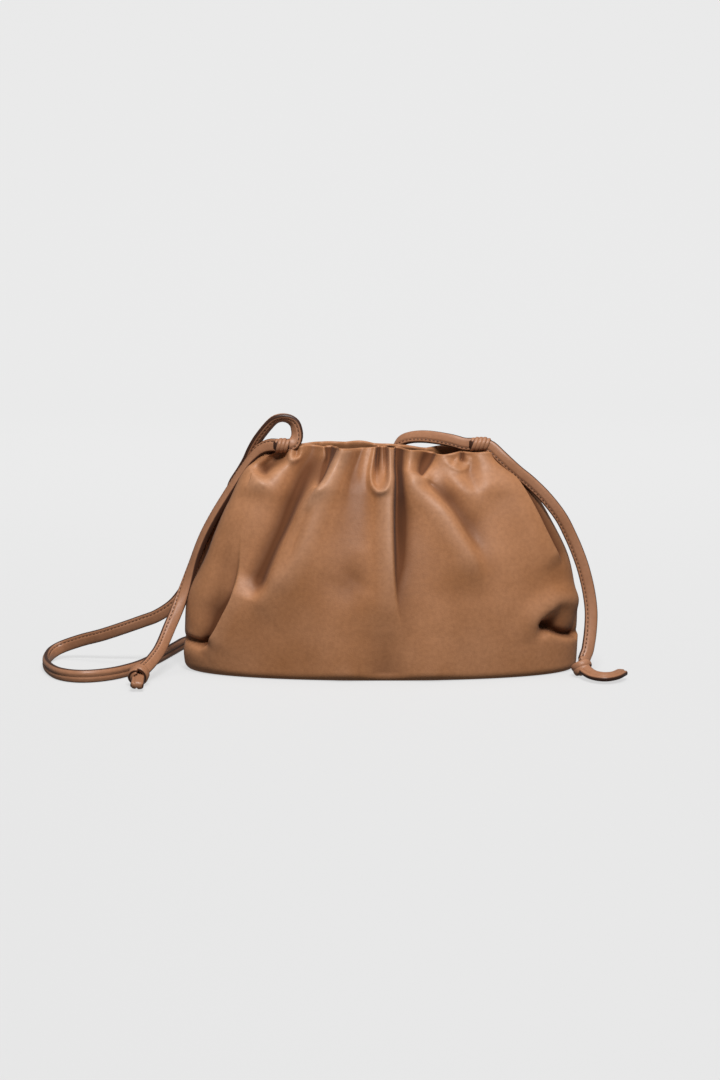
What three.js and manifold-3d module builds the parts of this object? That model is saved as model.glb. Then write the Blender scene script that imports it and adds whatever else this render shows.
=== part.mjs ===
// A gathered leather pouch bag with a thin tied cord for its strap.
// Millimetres, +Z up. The pouch stands on z = 0, centred on the origin, its front faces -Y.
import * as THREE from 'three';
import { mergeVertices } from 'three/addons/utils/BufferGeometryUtils.js';
import Module from 'manifold-3d';

const wasm = await Module();
wasm.setup();

// Driving sizes of the pouch
const bodyWidth = 240;
const bodyHeight = 138;
const bodyDepth = 84;
const rimWidth = 146;
const mouthDepth = 21;
const wall = 2;
const baseRadius = 9;
const rimDip = 5;
const cordDip = 3.2;
const foldDepth = 11;
const gussetDepth = 4;
const backGatherDepth = 3;
const backGathers = 7;

// Driving sizes of the cord and its ties
const cordDiameter = 7;
const wrapDiameter = 8.8;
const leftWrapLength = 9;
const rightWrapLength = 12;
const knotDiameter = 12.4;
const clearance = 0.3;
const tieSpread = 60;
const tieHeight = 137.6;
const tieGap = 0.4;
const tieLead = 1.3;

// Shares that shape the skin
const columnEvenness = 0.45;
const baseSquareness = 2.2;
const rimSquareness = 4.5;
const sectionRoundness = 0.52;
const cordDipPlace = 0.42;
const cordDipReach = 0.28;
const gussetReach = 0.45;
const backGatherSpread = 1.7;

// How finely the leather is faceted
const frontColumns = 60;
const backColumns = 26;
const baseRows = 3;
const wallRows = 16;

const leather = { color: 0xac7755, roughness: 0.5, metalness: 0 };
const cordLeather = { color: 0xa26c4a, roughness: 0.5, metalness: 0 };

// Outline of the pouch. height is a share of bodyHeight. left, right and depth run from 0, the pouch's
// widest and deepest section, to 1, the section at its rim.
const outline = [
  { height: 0.0, left: 0.0, right: 0.0, depth: 0.0 },
  { height: 0.18, left: 0.0, right: -0.02, depth: 0.0 },
  { height: 0.34, left: 0.04, right: 0.02, depth: 0.04 },
  { height: 0.51, left: 0.21, right: 0.14, depth: 0.2 },
  { height: 0.69, left: 0.42, right: 0.4, depth: 0.46 },
  { height: 0.82, left: 0.62, right: 0.63, depth: 0.68 },
  { height: 0.93, left: 0.8, right: 0.82, depth: 0.87 },
  { height: 1.0, left: 1.0, right: 1.0, depth: 1.0 },
];

// Ridges and valleys of the front, as seen from in front. Each runs down from (x1, h1) by way of (x2, h2)
// to (x3, h3): x is a share of half the body's width, h of its height. rise and fade are the relief at its
// top and foot, a share of foldDepth, below zero for a valley. left and right are its half-widths, shares
// of half the rim's width, and spread is how many times wider it is at its foot.
const foldColumns = ['x1', 'h1', 'x2', 'h2', 'x3', 'h3', 'rise', 'fade', 'left', 'right', 'spread'];
const foldRows = {
  cornerBowl: [-0.57, 0.97, -0.6, 0.91, -0.65, 0.86, -0.6, -0.3, 0.12, 0.12, 1],
  bowlLip: [-0.41, 0.97, -0.56, 0.82, -0.68, 0.84, 0.3, 0.3, 0.1, 0.1, 1.3],
  longValley: [-0.31, 1, -0.46, 0.72, -0.6, 0.4, -0.9, -0.3, 0.11, 0.08, 1.5],
  longRidge: [-0.2, 1, -0.36, 0.68, -0.63, 0.3, 0.6, 0.35, 0.07, 0.17, 1.4],
  leftCentreValley: [-0.08, 1, -0.18, 0.8, -0.24, 0.6, -0.5, -0.15, 0.08, 0.09, 1.6],
  pinchedSlot: [0.01, 1, 0.01, 0.92, 0.01, 0.84, -0.8, -0.3, 0.045, 0.045, 0.8],
  slotLeftLeg: [-0.035, 1, -0.04, 0.9, -0.01, 0.8, 0.35, 0.35, 0.05, 0.04, 1.2],
  slotRightLeg: [0.05, 1, 0.05, 0.9, 0.02, 0.8, 0.35, 0.35, 0.04, 0.05, 1.2],
  centreRidge: [0.01, 0.78, 0.01, 0.5, 0.01, 0.16, 0.35, 0.15, 0.12, 0.09, 1.6],
  centreCrease: [0.09, 1, 0.05, 0.6, 0.12, 0.12, -0.7, -0.25, 0.05, 0.08, 1.4],
  rightCentreRidge: [0.14, 1, 0.11, 0.84, 0.16, 0.6, 0.45, 0.2, 0.06, 0.09, 1.8],
  deepPocket: [0.21, 1, 0.2, 0.93, 0.21, 0.87, -0.9, -0.6, 0.06, 0.05, 1],
  rightFinger: [0.15, 0.84, 0.28, 0.68, 0.47, 0.41, 0.35, 0.4, 0.14, 0.09, 1.1],
  rightValley: [0.24, 0.88, 0.36, 0.72, 0.5, 0.46, -0.6, -0.2, 0.06, 0.11, 1.5],
  broadRightFold: [0.33, 1, 0.42, 0.84, 0.58, 0.6, 0.5, 0.25, 0.12, 0.2, 1.6],
  rimNotch: [0.42, 1, 0.41, 0.97, 0.4, 0.94, -0.5, -0.2, 0.05, 0.06, 1],
  leftPanelEdge: [-0.76, 0.62, -0.79, 0.38, -0.91, 0.14, 0.1, 0.35, 0.08, 0.16, 0.7],
  leftGussetHollow: [-0.86, 0.62, -0.9, 0.4, -0.93, 0.2, -0.35, -0.85, 0.11, 0.11, 0.7],
  leftCornerTuck: [-0.86, 0.16, -0.92, 0.17, -0.99, 0.18, -0.6, -0.3, 0.08, 0.05, 1],
  leftCornerPad: [-0.8, 0.1, -0.9, 0.08, -0.98, 0.07, 0.2, 0.2, 0.12, 0.08, 1],
  rightPanelEdge: [0.66, 0.93, 0.8, 0.7, 0.95, 0.44, 0.25, 0.2, 0.12, 0.05, 1],
  rightCornerCrease: [0.82, 0.25, 0.91, 0.21, 0.99, 0.17, -0.5, -0.5, 0.06, 0.06, 1],
  rightCornerDimple: [0.84, 0.24, 0.81, 0.19, 0.8, 0.13, -0.5, -0.2, 0.1, 0.1, 1],
  rightCornerRidge: [0.93, 0.35, 0.84, 0.3, 0.76, 0.16, 0.4, 0.25, 0.1, 0.09, 1],
  lowCentreDip: [0.01, 0.18, 0.01, 0.1, 0, 0.03, -0.15, -0.5, 0.1, 0.12, 1.4],
};
const folds = Object.values(foldRows).map((row) =>
  Object.fromEntries(foldColumns.map((column, i) => [column, row[i]])),
);

// Where the cord leaves a tie: side is -1 for the tie's left end and 1 for its right end
const besideTie = (place, length, side) =>
  [tieGap, tieGap + tieLead].map((away) => [place + side * (length / 2 + away), 0, tieHeight]);

// Routes of the cord, as it lies: points along its centre line, in millimetres
const strapRoute = [
  ...besideTie(-tieSpread, leftWrapLength, 1), [-51.4, 0.6, 140], [-50.6, 1.2, 144], [-51.6, 1.8, 150],
  [-59, 2.6, 154.4], [-65.4, 3.2, 151.8], [-70.4, 3.8, 146], [-75.2, 4.2, 140], [-79.4, 4.3, 134],
  [-83.8, 4.3, 127.6], [-88, 4.3, 120.6], [-92.4, 4.3, 113.2], [-98.8, 4.3, 101.8], [-105.4, 4.3, 89],
  [-110.2, 4.8, 76.4],
  [-114.8, 5, 64.6], [-119, 5, 53.6], [-123.4, 5, 43], [-129, 5, 36.2], [-137.6, 8, 31.2],
  [-146.8, 11, 27.2], [-160.4, 16, 21.6], [-173.2, 21, 16.6], [-186, 26, 12.4], [-198.4, 28, 7.8],
  [-204.4, 22, 5.2], [-206, 7, 4], [-203.6, -11, 3.8], [-197.4, -29, 3.8], [-189.6, -39.4, 3.8],
  [-179, -43.6, 3.8], [-167.4, -40, 3.8], [-156.4, -30, 3.8], [-146, -12, 3.8], [-136.4, 18, 3.8],
  [-129.6, 42, 3.8], [-124, 60, 3.8], [-113, 75, 3.8], [-94, 82, 3.8], [-70, 82, 3.8], [-47, 76, 3.8],
  [-30, 66, 7], [-19, 56, 18], [-12.6, 50, 38], [-8, 46, 66], [-3, 38, 92], [3, 28, 114],
  [9, 21, 129], [15, 17, 138], [22, 11.8, 142.4], [31, 6.4, 142.4], [43, 2.4, 140.6], [49.6, 0.4, 138.2],
  ...besideTie(tieSpread, rightWrapLength, -1).reverse(),
];
const leftEndRoute = [
  ...besideTie(-tieSpread, leftWrapLength, -1), [-69, -0.8, 138.6], [-73, -2.4, 138], [-77.6, -3.8, 134.6],
  [-82.6, -4.9, 129.6], [-87.6, -5.2, 122.6], [-92.2, -5, 115.4], [-98.6, -4.3, 102.8],
  [-105.2, -4.3, 90.4], [-109.8, -4.6, 77.8], [-114.2, -4.8, 66], [-118.2, -5, 55],
  [-121.4, -5.4, 45], [-125, -7.6, 35.8],
  [-128.4, -12, 28.2], [-131.4, -18, 21.2], [-134.2, -26, 15.8], [-138, -34, 11.4], [-140.8, -41, 9],
  [-142.4, -45.5, 8],
];
const rightEndRoute = [
  ...besideTie(tieSpread, rightWrapLength, 1), [72, -0.6, 139.6], [79.4, -1.6, 137], [86.2, -2.8, 129.6],
  [94, -3.8, 117], [105, -4.6, 104], [111.2, -5.2, 92], [116.8, -6, 80], [121.4, -7, 67.8], [125, -9, 55.6],
  [127, -11.4, 43.6], [127.4, -14.6, 31.8], [126, -18.6, 20.2], [124.4, -21.4, 14.2], [123.6, -22.6, 12.2],
];

// Knots at the ends of the cord, each with the tail that is left beyond it
const leftKnot = [-144.4, -51.6, knotDiameter / 2 + clearance];
const leftTail = [[-144.4, -54, 5.4], [-144.2, -62, 4.2], [-144, -70, cordDiameter / 2 + clearance]];
const rightKnot = [121.4, -26, knotDiameter / 2 + clearance];
const rightTail = [
  [122.4, -29, 5.6], [126.6, -41, 4.2], [133, -47, cordDiameter / 2 + clearance],
  [140, -42, cordDiameter / 2 + clearance], [145, -31, cordDiameter / 2 + clearance],
];

const smooth = (t) => t * t * (3 - 2 * t);
const clamp = THREE.MathUtils.clamp;
const lerp = THREE.MathUtils.lerp;

function alongOutline(column, height) {
  const last = outline.length - 1;
  let i = 0;
  while (i < last - 1 && outline[i + 1].height < height) i += 1;
  const slope = (k) => {
    const before = outline[Math.max(k - 1, 0)];
    const after = outline[Math.min(k + 1, last)];
    return (after[column] - before[column]) / (after.height - before.height);
  };
  const from = outline[i];
  const to = outline[i + 1];
  const span = to.height - from.height;
  const t = clamp((height - from.height) / span, 0, 1);
  const rest = 1 - t;
  return (
    from[column] * rest * rest * (1 + 2 * t) +
    to[column] * t * t * (1 + 2 * rest) +
    span * t * rest * (slope(i) * rest - slope(i + 1) * t)
  );
}

// The pouch without its folds. turn runs round it: -1 left side, 0 front, 1 right side, 2 back, 3 left.
function smoothSkin(turn, height) {
  const wrapped = turn < -1 ? turn + 4 : turn > 3 ? turn - 4 : turn;
  const front = wrapped <= 1;
  const along = front ? wrapped : 2 - wrapped;
  const across = lerp(Math.sin((along * Math.PI) / 2), along, columnEvenness);
  const side = across < 0 ? 'left' : 'right';
  const z = height * bodyHeight;
  const low = Math.max(baseRadius - z, 0);
  const inset = baseRadius - Math.sqrt(baseRadius * baseRadius - low * low);
  const halfWidth = lerp(bodyWidth, rimWidth, alongOutline(side, height)) / 2 - inset;
  const halfDepth = lerp(bodyDepth, mouthDepth, alongOutline('depth', height)) / 2 - inset;
  const squareness = lerp(baseSquareness, rimSquareness, smooth(clamp(height * 1.6 - 0.6, 0, 1)));
  const bulge = Math.pow(Math.max(1 - Math.pow(Math.abs(across), squareness), 0), sectionRoundness);
  const cordSag = cordDip * Math.exp(-(((across - cordDipPlace) / cordDipReach) ** 2));
  const dip = (rimDip * Math.pow(Math.abs(across), 8) + cordSag) * smooth(clamp(height * 5 - 4, 0, 1));
  return new THREE.Vector3(across * halfWidth, (front ? -1 : 1) * halfDepth * bulge, z - dip);
}

function outward(turn, height) {
  const step = 0.012;
  const top = Math.min(height + step, 1);
  const bottom = Math.max(height - step, baseRadius / bodyHeight / 3);
  const round = smoothSkin(turn + step, height).sub(smoothSkin(turn - step, height));
  const up = smoothSkin(turn, top).sub(smoothSkin(turn, Math.min(bottom, top - step)));
  return round.cross(up).normalize();
}

// Height of one fold's relief at a place of the front, its path being a curve through three points
function foldRelief(fold, x, z) {
  const half = bodyWidth / 2;
  const path = [0, 1, 2].map((k) => {
    const n = k + 1;
    return [fold['x' + n] * half, fold['h' + n] * bodyHeight];
  });
  const middle = [0, 1].map((k) => 2 * path[1][k] - (path[0][k] + path[2][k]) / 2);
  const pieces = 10;
  let nearest = Infinity;
  let share = 0;
  let turnSide = 0;
  let before = path[0];
  for (let i = 1; i <= pieces; i += 1) {
    const t = i / pieces;
    const point = [0, 1].map(
      (k) => (1 - t) * (1 - t) * path[0][k] + 2 * t * (1 - t) * middle[k] + t * t * path[2][k],
    );
    const dx = point[0] - before[0];
    const dz = point[1] - before[1];
    const s = clamp(((x - before[0]) * dx + (z - before[1]) * dz) / (dx * dx + dz * dz), 0, 1);
    const awayX = x - before[0] - s * dx;
    const awayZ = z - before[1] - s * dz;
    const away = Math.hypot(awayX, awayZ);
    if (away < nearest) {
      nearest = away;
      share = (i - 1 + s) / pieces;
      turnSide = dx * (z - before[1]) - dz * (x - before[0]);
    }
    before = point;
  }
  const reach = (turnSide < 0 ? fold.left : fold.right) * (rimWidth / 2) * lerp(1, fold.spread, share);
  const rise = foldDepth * lerp(fold.rise, fold.fade, share);
  return rise * Math.exp(-((nearest / reach) ** 2));
}

function relief(place, height) {
  const near = clamp(height * bodyHeight / baseRadius, 0, 1);
  const seam = Math.exp(-((place.y / (mouthDepth * gussetReach)) ** 2));
  const side = (seam * Math.abs(place.x)) / (bodyWidth / 2);
  const aboveBase = smooth(clamp(height * 4 - 1.2, 0, 1));
  const belowRim = smooth(clamp((1 - height) * 4, 0, 1));
  const gusset = -gussetDepth * side * aboveBase * belowRim;
  if (place.y > 0) {
    const gathered = rimWidth * lerp(backGatherSpread, 1, height);
    const waves = Math.cos((2 * Math.PI * backGathers * place.x) / gathered);
    const fade = smooth(clamp(height * 2 - 1, 0, 1)) * smooth(clamp(place.y / (mouthDepth / 2), 0, 1));
    return gusset + backGatherDepth * waves * fade;
  }
  const sum = folds.reduce((total, fold) => total + foldRelief(fold, place.x, place.z), 0);
  const frontness = smooth(clamp(-place.y / (mouthDepth / 3), 0, 1));
  return gusset + sum * near * lerp(0.25, 1, frontness);
}

function closedMesh(points, faces) {
  const geometry = new THREE.BufferGeometry();
  const places = points.flatMap((p) => [p.x, p.y, p.z]);
  geometry.setAttribute('position', new THREE.Float32BufferAttribute(places, 3));
  geometry.setIndex(faces.flat());
  geometry.computeVertexNormals();
  return geometry;
}

// One leather shell: outer wall, rim, inner wall, inner floor and flat base
function pouchGeometry() {
  const turns = [];
  for (let i = 0; i < frontColumns; i += 1) turns.push(-1 + (2 * i) / frontColumns);
  for (let i = 0; i < backColumns; i += 1) turns.push(1 + (2 * i) / backColumns);
  const heights = [];
  for (let i = 0; i < baseRows; i += 1) {
    heights.push((baseRadius / bodyHeight) * (1 - Math.cos((i / baseRows) * (Math.PI / 2))));
  }
  for (let i = 0; i <= wallRows; i += 1) {
    heights.push(lerp(baseRadius / bodyHeight, 1, (i / wallRows) ** 0.9));
  }

  const outer = [];
  const inner = [];
  for (const height of heights) {
    for (const turn of turns) {
      const place = smoothSkin(turn, height);
      const normal = outward(turn, height);
      const rise = relief(place, height);
      const skin = place.clone().addScaledVector(normal, rise);
      if (height === 0) skin.z = 0;
      outer.push(skin);
      inner.push(skin.clone().addScaledVector(normal, -wall));
    }
  }
  const columns = turns.length;
  const rows = heights.length;
  const firstInner = baseRows;
  const points = [...outer];
  for (let j = rows - 1; j >= firstInner; j -= 1) {
    points.push(...inner.slice(j * columns, (j + 1) * columns));
  }
  for (let i = 0; i < columns; i += 1) {
    const above = inner[firstInner * columns + i];
    const shrink = 1 - baseRadius / 2 / Math.hypot(above.x, above.y);
    points.push(new THREE.Vector3(above.x * shrink, above.y * shrink, wall));
  }
  const rings = points.length / columns;
  const baseCentre = points.push(new THREE.Vector3(0, 0, 0)) - 1;
  const floorCentre = points.push(new THREE.Vector3(0, 0, wall)) - 1;
  const faces = [];
  for (let ring = 0; ring < rings - 1; ring += 1) {
    for (let i = 0; i < columns; i += 1) {
      const next = (i + 1) % columns;
      const a = ring * columns + i;
      const b = ring * columns + next;
      faces.push([a, b, b + columns], [a, b + columns, a + columns]);
    }
  }
  const lastRing = (rings - 1) * columns;
  for (let i = 0; i < columns; i += 1) {
    const next = (i + 1) % columns;
    faces.push([baseCentre, next, i], [floorCentre, lastRing + i, lastRing + next]);
  }
  return closedMesh(points, faces);
}

const vectors = (route) => route.map((point) => new THREE.Vector3(...point));

function cordGeometry(route, steps) {
  const section = new THREE.Shape();
  section.absellipse(0, 0, cordDiameter / 2, cordDiameter / 2, 0, Math.PI * 2);
  const extrudePath = new THREE.CatmullRomCurve3(vectors(route));
  return new THREE.ExtrudeGeometry(section, { steps, curveSegments: 8, bevelEnabled: false, extrudePath });
}

// A wound tie lying along X: round bands side by side, closed on its axis
function wrapGeometry(length, bands) {
  const radius = wrapDiameter / 2;
  const groove = radius * 0.14;
  const profile = [new THREE.Vector2(0, -length / 2)];
  for (let i = 0; i < bands; i += 1) {
    const start = -length / 2 + (i * length) / bands;
    profile.push(new THREE.Vector2(radius - groove, start + length / bands / 10));
    profile.push(new THREE.Vector2(radius, start + length / bands / 2));
    profile.push(new THREE.Vector2(radius - groove, start + (length / bands) * 0.9));
  }
  profile.push(new THREE.Vector2(0, length / 2));
  const geometry = new THREE.LatheGeometry(profile, 12);
  geometry.rotateZ(-Math.PI / 2);
  return geometry;
}

function asSolid(geometry) {
  const bare = geometry.clone();
  bare.deleteAttribute('normal');
  bare.deleteAttribute('uv');
  const merged = mergeVertices(bare, 1e-4);
  return new wasm.Manifold(
    new wasm.Mesh({
      numProp: 3,
      vertProperties: new Float32Array(merged.attributes.position.array),
      triVerts: new Uint32Array(merged.index.array),
    }),
  );
}

function fromSolid(solid) {
  const { vertProperties, triVerts } = solid.getMesh();
  const geometry = new THREE.BufferGeometry();
  geometry.setAttribute('position', new THREE.BufferAttribute(vertProperties, 3));
  geometry.setIndex(new THREE.BufferAttribute(triVerts, 1));
  geometry.computeVertexNormals();
  return geometry;
}

function knotGeometry(centre, tail) {
  const lump = new THREE.SphereGeometry(knotDiameter / 2, 12, 8);
  lump.translate(...centre);
  return fromSolid(asSolid(lump).add(asSolid(cordGeometry(tail, 6))));
}

const bag = new THREE.Group();

function addPiece(name, geometry, finish, position = [0, 0, 0]) {
  const mesh = new THREE.Mesh(geometry, new THREE.MeshStandardMaterial(finish));
  mesh.name = name;
  mesh.position.set(...position);
  bag.add(mesh);
}

addPiece('pouch_body', pouchGeometry(), leather);
addPiece('strap', cordGeometry(strapRoute, 58), cordLeather);
addPiece('tie_end_left', cordGeometry(leftEndRoute, 12), cordLeather);
addPiece('tie_end_right', cordGeometry(rightEndRoute, 10), cordLeather);
addPiece('wrap_left', wrapGeometry(leftWrapLength, 4), cordLeather, [-tieSpread, 0, tieHeight]);
addPiece('wrap_right', wrapGeometry(rightWrapLength, 5), cordLeather, [tieSpread, 0, tieHeight]);
addPiece('end_knot_left', knotGeometry(leftKnot, leftTail), cordLeather);
addPiece('end_knot_right', knotGeometry(rightKnot, rightTail), cordLeather);

export default bag;
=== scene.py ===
# %% [markdown]
# # A gathered leather pouch with a tied cord
#
# The bag is a soft nappa pouch on a flat base. Its front is pleated where a thin cord draws the mouth
# together, and both ends of that cord hang down to a knot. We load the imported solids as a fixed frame,
# then dress them piece by piece: first the camera and the cord, then the pouch, then the fine finishes.

# %% Load the frame
import math

import bpy
import numpy as np
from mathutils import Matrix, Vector


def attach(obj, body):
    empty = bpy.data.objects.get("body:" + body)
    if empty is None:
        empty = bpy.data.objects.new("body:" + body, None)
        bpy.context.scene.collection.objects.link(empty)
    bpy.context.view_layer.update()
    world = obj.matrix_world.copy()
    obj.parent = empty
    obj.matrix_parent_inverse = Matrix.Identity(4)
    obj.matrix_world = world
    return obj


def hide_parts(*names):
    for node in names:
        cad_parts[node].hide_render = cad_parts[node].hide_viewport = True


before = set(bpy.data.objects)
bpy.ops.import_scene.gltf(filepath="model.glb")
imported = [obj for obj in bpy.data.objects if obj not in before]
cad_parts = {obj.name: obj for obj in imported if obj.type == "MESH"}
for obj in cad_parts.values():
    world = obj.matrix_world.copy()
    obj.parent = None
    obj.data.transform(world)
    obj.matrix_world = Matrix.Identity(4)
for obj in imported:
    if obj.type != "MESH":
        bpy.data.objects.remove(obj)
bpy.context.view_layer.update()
MM = 0.001

# %% [markdown]
# ## Camera
#
# A product photograph like this one is taken with a long lens, a little above the table. A camera can be
# aimed by eye or computed. Here it stands back along its line of sight from one point of the bag, so the
# distance and the lens together settle the scale, and nothing has to be shifted.

# %% Camera
VIEW_DOWN = math.radians(9)
VIEW_DISTANCE = 1.647
AIM = Vector((-0.0126, 0.0, 0.07965))
LENS = 90


def add_object(name, data):
    """An object with this mesh, light or camera, placed in the scene."""
    obj = bpy.data.objects.new(name, data)
    bpy.context.scene.collection.objects.link(obj)
    return obj


camera_data = bpy.data.cameras.new("camera")
camera_data.lens = LENS
camera_data.sensor_width = 36
camera = add_object("camera", camera_data)
camera.location = AIM + VIEW_DISTANCE * Vector((0, -math.cos(VIEW_DOWN), math.sin(VIEW_DOWN)))
camera.rotation_euler = (math.radians(90) - VIEW_DOWN, 0, 0)
bpy.context.scene.camera = camera
print("camera at", [round(v, 4) for v in camera.location])

# %% [markdown]
# ## Helpers for meshes
#
# Most pieces here are grids: rings of points joined to their neighbours. Writing the points with numpy and
# handing them over in one go is quick, and it keeps every shape a plain function of its sizes.

# %% Mesh helpers


def make_object(name, points, faces, marks=None):
    mesh = bpy.data.meshes.new(name)
    mesh.from_pydata([tuple(p) for p in points], [], faces)
    mesh.update()
    mesh.polygons.foreach_set("use_smooth", [True] * len(mesh.polygons))
    obj = add_object(name, mesh)
    if marks is not None:
        edge = mesh.attributes.new("edge", "FLOAT", "POINT")
        edge.data.foreach_set("value", np.asarray(marks, np.float32))
    return obj


def ring_faces(rings, count):
    """The four-sided faces between rings of count points each."""
    faces = []
    for ring in range(rings - 1):
        low = ring * count
        for i in range(count):
            after = (i + 1) % count
            faces.append((low + i, low + after, low + count + after, low + count + i))
    return faces


def unit(vectors):
    return vectors / np.maximum(np.linalg.norm(vectors, axis=-1, keepdims=True), 1e-12)


def smooth_line(points, spacing):
    """A Catmull-Rom line through the points, with its new points spaced evenly along it."""
    p = np.array(points, float)
    p = np.vstack([2 * p[0] - p[1], p, 2 * p[-1] - p[-2]])
    t = np.linspace(0, 1, 24, endpoint=False)[:, None]
    dense = []
    for a, b, c, d in zip(p[:-3], p[1:-2], p[2:-1], p[3:]):
        dense.append(
            0.5 * (2 * b + (c - a) * t + (2 * a - 5 * b + 4 * c - d) * t**2 + (3 * b - a - 3 * c + d) * t**3)
        )
    dense = np.vstack(dense + [p[-2:-1]])
    run = np.concatenate([[0], np.cumsum(np.linalg.norm(np.diff(dense, axis=0), axis=1))])
    count = max(int(round(run[-1] / spacing)), 2) + 1
    even = np.linspace(0, run[-1], count)
    return np.column_stack([np.interp(even, run, dense[:, k]) for k in range(3)])


def line_length(line):
    return float(np.linalg.norm(np.diff(line, axis=0), axis=1).sum())


def squared_off(values, power):
    """Sines or cosines pushed outwards, which turns a circle into a rounded box."""
    return np.sign(values) * np.abs(values) ** power


def flat_section(count, half_width, half_height, power):
    angles = np.linspace(0, 2 * math.pi, count, endpoint=False)
    return np.column_stack([half_width * squared_off(np.cos(angles), power), half_height * np.sin(angles)])


# %% [markdown]
# ## The cord's route
#
# The cord is a narrow folded strip of the same leather. It could hang from a simulation, but the photograph
# shows how it lies, so its centre line is a short list of points, joined by one smooth line: up from the
# left tie in a small loop, down beside the bag, round on the table, behind the bag, up its back and over
# the rim to the right tie. Two free ends run from the ties down to their knots.

# %% Cord route
STRAP_ROUTE = [
    (-57.2, -2, 138), (-53.6, -1.6, 138.6), (-51.4, -0.6, 141), (-50.6, 0.6, 145), (-51.8, 1.6, 150.4),
    (-55, 2.2, 153.4), (-59.2, 2.6, 154.4), (-62.8, 2.9, 153.8), (-65.8, 3.4, 152), (-70, 4.2, 147.4),
    (-74.8, 5.4, 141), (-78.4, 7, 134.7), (-81.6, 8.6, 127.7), (-85.6, 10, 120.8), (-90, 11, 113.8),
    (-92.6, 13.4, 106), (-97.4, 15.4, 95.4), (-103, 16, 84), (-107.8, 15.6, 73.6), (-112.2, 14, 63.2),
    (-116.8, 11.4, 53.6), (-122, 8.4, 44.8), (-128.2, 6.6, 37.6),
    (-137.6, 8, 31.2), (-146.8, 11, 27.2), (-160.4, 16, 21.6),
    (-173.2, 21, 16.6), (-186, 26, 12.4), (-198.4, 28, 7.8), (-204.4, 22, 5.2), (-206, 7, 4),
    (-203.6, -11, 4), (-197.4, -29, 4), (-189.6, -39.4, 4), (-179, -43.6, 4), (-167.4, -40, 4),
    (-156.4, -30, 4), (-146, -12, 4), (-136.4, 18, 4), (-129.6, 42, 4), (-124, 60, 4),
    (-113, 75, 4), (-94, 82, 4), (-70, 82, 4), (-47, 76, 4), (-30, 66, 7), (-19, 56, 18),
    (-12.6, 50, 38), (-8, 46, 66), (-3, 38, 92), (3, 28, 114), (7.4, 20.6, 130), (11.4, 16.4, 137.4),
    (18, 12, 141), (28.3, 6.6, 142.2), (42, 1, 140.8), (49.6, -1.2, 139), (53, -1.8, 138.7),
    (57, -2.2, 138.8),
]
LEFT_END_ROUTE = [
    (-63, -1.9, 138.2), (-66.4, -1.2, 138.2), (-70, 0.4, 137), (-73.8, 2.2, 134.6), (-77, 3.4, 131.4),
    (-80.2, 4.2, 127.4), (-84.2, 4.4, 121.6), (-88.4, 4.1, 115.2), (-94, 4, 106.4), (-100.8, 3.7, 95.4),
    (-106.9, 3.1, 84.2), (-111.2, 2.5, 74.2), (-115, 1.6, 63.4), (-118.2, 0, 53.8), (-121.2, -2.8, 45.4),
    (-125, -7.6, 35.8), (-128.4, -12, 28.2), (-131.4, -18, 21.2), (-134.2, -26, 15.8),
    (-138, -34, 11.4), (-140.8, -41, 9), (-142.4, -45.5, 8), (-143.8, -50, 7),
]
RIGHT_END_ROUTE = [
    (62.4, -2.6, 138.6), (66.8, -3.8, 137), (72, -6.4, 132.4), (77, -8, 127.8), (82.8, -8.4, 122.6),
    (90.6, -8, 116.2), (100.4, -7.6, 106.4), (109.3, -7.4, 94.8), (115.4, -7.6, 83), (119.8, -8, 72.8),
    (123.4, -8.8, 62.4), (126.4, -10.4, 49.8), (127.8, -13, 38), (127.2, -16.6, 26.4),
    (125.4, -20.6, 16), (123.8, -22.6, 12.2), (122.8, -24, 9.6),
]
CORD_STEP = 1.6 * MM
strap_line = smooth_line(np.array(STRAP_ROUTE) * MM, CORD_STEP)
left_line = smooth_line(np.array(LEFT_END_ROUTE) * MM, CORD_STEP)
right_line = smooth_line(np.array(RIGHT_END_ROUTE) * MM, CORD_STEP)
for title, line in (("strap", strap_line), ("left end", left_line), ("right end", right_line)):
    print(title, "length", round(line_length(line), 3), "m in", len(line), "rings")

# %% [markdown]
# ## The folded strip
#
# On the real cord one strip of leather is folded over and sewn along one edge, so its section is a
# flattened round with a stitched groove near one side and a seam line down the middle of the other face.
# A bevelled curve gives only one section with no way to say which face looks outwards. So the section is
# swept by hand: at each point a facing direction is given, and the strip turns smoothly between them.

# %% Sweep the strip
STRIP_WIDTH = 7.8 * MM
STRIP_THICKNESS = 4.4 * MM
STITCH_INSET = 1.75 * MM
GROOVE_DEPTH, GROOVE_REACH = 0.75 * MM, 0.42 * MM
SEAM_DEPTH, SEAM_REACH = 0.8 * MM, 0.34 * MM
EDGE_THINNING = 0.28


def strip_section():
    """Points (across, out) round the strip: out is the stitched face, -out the face with the seam."""
    half = STRIP_WIDTH / 2
    row = half - STITCH_INSET
    angles = np.linspace(0, 2 * math.pi, 40, endpoint=False)
    across = half * squared_off(np.cos(angles), 0.8)
    out = STRIP_THICKNESS / 2 * squared_off(np.sin(angles), 0.62)
    front = out > 0
    out = out - front * GROOVE_DEPTH * np.exp(-(((across - row) / GROOVE_REACH) ** 2))
    out = out * (1 - EDGE_THINNING * np.clip((across - row) / (half - row), 0, 1))
    out = out + (~front) * SEAM_DEPTH * np.exp(-((across / SEAM_REACH) ** 2))
    return np.column_stack([across, out])


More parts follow.
